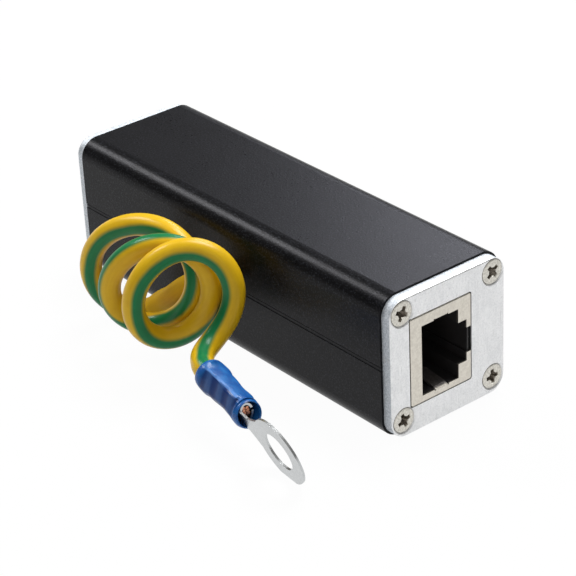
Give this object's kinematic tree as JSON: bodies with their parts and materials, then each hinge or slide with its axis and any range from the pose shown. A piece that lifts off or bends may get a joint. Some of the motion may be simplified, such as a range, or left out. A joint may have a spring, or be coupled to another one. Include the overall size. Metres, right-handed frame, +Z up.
{
  "type": "ethernet surge protector",
  "caption": "Inline ethernet surge protector: a rectangular two-shell case with a shielded socket in each end plate and a coiled earth lead that ends in a ring terminal.",
  "frame": {"origin": "under the middle of the case, on the surface it stands on", "axes": "+X along the case towards one socket, -Y the side that the earth lead leaves, +Z up"},
  "size_m": [0.0856, 0.0472, 0.0267],
  "materials": {
    "case": "black anodised, fine satin grain",
    "plate": "bright silver anodised, fine speckle",
    "screw": "nickel-plated",
    "shield": "nickel-plated sheet",
    "housing": "black moulded plastic",
    "contact": "gold-plated",
    "board": "green circuit board",
    "ceramic": "glazed ceramic",
    "electrode": "tinned",
    "chip": "moulded epoxy",
    "tab": "tinned brass",
    "grommet": "matt rubber",
    "lead": "yellow and green insulation",
    "sleeve": "blue nylon",
    "terminal": "tinned copper sheet",
    "copper": "bare copper strands"
  },
  "bodies": {
    "root": {"upper_shell": "case", "lower_shell": "case", "front_plate": "plate", "rear_plate": "plate", "front_plate_screws": "screw", "rear_plate_screws": "screw", "front_jack_shield": "shield", "front_jack_housing": "housing", "front_jack_contacts": "contact", "rear_jack_shield": "shield", "rear_jack_housing": "housing", "rear_jack_contacts": "contact", "circuit_board": "board", "gas_tubes": "ceramic", "gas_tube_electrodes": "electrode", "clamp_arrays": "chip", "line_resistors": "chip", "earth_tab": "tab", "lead_grommet": "grommet", "lead_inner": "lead", "lead_root": "lead", "lead_coil": "lead", "lead_tail": "lead", "terminal_sleeve": "sleeve", "ring_terminal": "terminal", "conductor_strands": "copper"}
  },
  "joints": []
}
